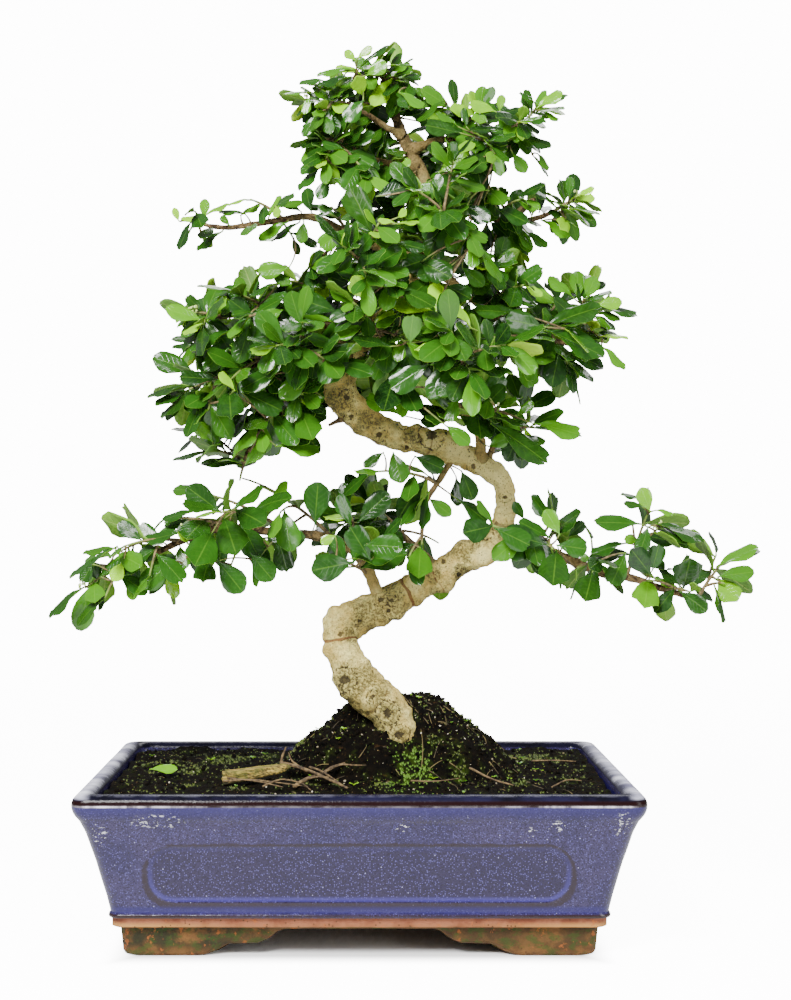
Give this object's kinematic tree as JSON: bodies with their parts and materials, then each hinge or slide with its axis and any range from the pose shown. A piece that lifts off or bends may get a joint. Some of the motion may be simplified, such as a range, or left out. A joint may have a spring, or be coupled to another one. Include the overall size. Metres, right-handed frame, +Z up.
{
  "type": "fukien tea bonsai",
  "caption": "Small winding-trunk tree with glossy toothed leaves, in soil in a low rectangular glazed pot on corner feet.",
  "frame": {"origin": "middle of the bounding box, at the height of the pot's feet", "axes": "+Z up along the tree, -Y towards the side that is looked at most, +X to the right of that side"},
  "size_m": [0.4342, 0.236, 0.5481],
  "materials": {
    "blue_glaze": "glossy speckled blue-violet glaze that breaks dark brown on edges, bare brown clay at the foot",
    "drain_mesh": "plain dark mesh",
    "soil": "damp crumbly potting mix with moss and small grains",
    "bark": "pale tan bark with dark specks, scars and knots, browner on the upper limbs",
    "dead_wood": "dry fibrous wood",
    "leaf": "glossy dark green upper side, paler yellow-green under side, light midrib"
  },
  "bodies": {
    "root": {"bark_chip": "dead_wood", "drain_mesh_left": "drain_mesh", "drain_mesh_right": "drain_mesh", "dry_twig": "dead_wood", "fallen_leaf": "leaf", "pot": "blue_glaze", "soil": "soil", "spray_01_lower_left": "leaf", "spray_02_lower_left": "leaf", "spray_03_lower_left": "leaf", "spray_04_lower_left": "leaf", "spray_05_lower_left": "leaf", "spray_06_lower_left": "leaf", "spray_07_lower_right": "leaf", "spray_08_lower_right": "leaf", "spray_09_lower_right": "leaf", "spray_10_lower_right": "leaf", "spray_11_lower_right": "leaf", "spray_12_droop_left": "leaf", "spray_13_droop_left": "leaf", "spray_14_mid_left": "leaf", "spray_15_mid_left": "leaf", "spray_16_front_left": "leaf", "spray_17_left_upper": "leaf", "spray_18_left_upper": "leaf", "spray_19_shoulder_left": "leaf", "spray_20_long_left": "leaf", "spray_21_long_left": "leaf", "spray_22_long_left": "leaf", "spray_23_crown_left": "leaf", "spray_24_crown_left_low": "leaf", "spray_25_trunk": "leaf", "spray_26_crown_right": "leaf", "spray_27_crown_right": "leaf", "spray_28_upper_right": "leaf", "spray_29_upper_right": "leaf", "spray_30_front_crown": "leaf", "spray_31_front_mid": "leaf", "spray_32_mid_right": "leaf", "spray_33_mid_right": "leaf", "spray_34_mid_right": "leaf", "spray_35_front_right": "leaf", "spray_36_front_rise": "leaf", "spray_37_front_rise": "leaf", "spray_38_right_low": "leaf", "spray_39_hanging": "leaf", "spray_40_hanging": "leaf", "spray_41_back_low": "leaf", "spray_42_back_low": "leaf", "spray_43_back_mid": "leaf", "spray_44_back_mid": "leaf", "spray_45_back_left": "leaf", "spray_46_back_left": "leaf", "spray_47_back_right": "leaf", "spray_48_back_right": "leaf", "spray_49_back_crown": "leaf", "spray_50_back_top": "leaf", "trunk": "bark"}
  },
  "joints": []
}
